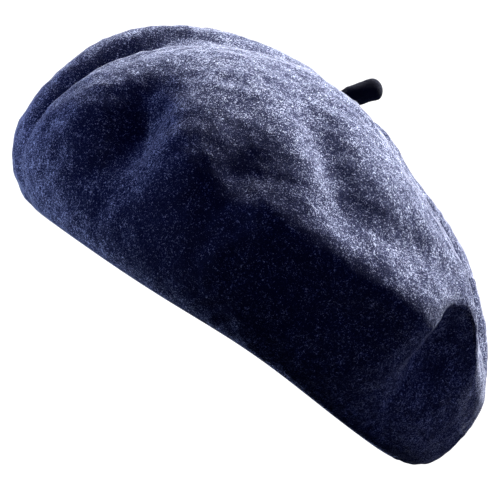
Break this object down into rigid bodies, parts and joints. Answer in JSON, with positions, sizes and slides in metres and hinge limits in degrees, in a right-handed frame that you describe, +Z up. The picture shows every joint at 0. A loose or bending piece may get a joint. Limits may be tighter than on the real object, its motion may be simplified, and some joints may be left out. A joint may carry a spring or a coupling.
{
  "type": "wool beret",
  "caption": "Navy felted wool beret standing on its rim, with a soft dented crown, a short stalk on top, a leather sweatband and a satin lining.",
  "frame": {"origin": "centre of the head opening in the plane of the rim, which the hat stands on", "axes": "+Z up through the crown, -Y the front, +X the side the tail leans to"},
  "size_m": [0.2574, 0.2488, 0.1435],
  "materials": {
    "felt": "fulled heather wool",
    "tail_felt": "dense dark felt",
    "navy_thread": "twisted sewing thread",
    "pale_thread": "twisted sewing thread",
    "leather": "smooth grain leather",
    "satin": "satin lining",
    "label_cloth": "woven ribbon"
  },
  "bodies": {
    "hat": {"crown_felt": "felt", "tail_knot": "tail_felt", "tail_stitches": "navy_thread", "sweatband": "leather", "sweatband_stitches": "navy_thread", "sweatband_joint_stitches": "navy_thread", "lining_side": "satin", "lining_tip": "satin", "lining_seam_stitches": "navy_thread", "lining_stitches": "navy_thread", "size_label": "label_cloth", "label_stitches": "pale_thread"},
    "tail_stub": {"tail": "tail_felt"}
  },
  "joints": [
    {"name": "tail_bend", "type": "hinge", "parent": "hat", "child": "tail_stub", "pos_m": [-0.009, 0, 0.12957], "axis": [0, 1, 0], "range_deg": [-76, 13], "stiffness_Nm_per_rad": 0.004}
  ]
}
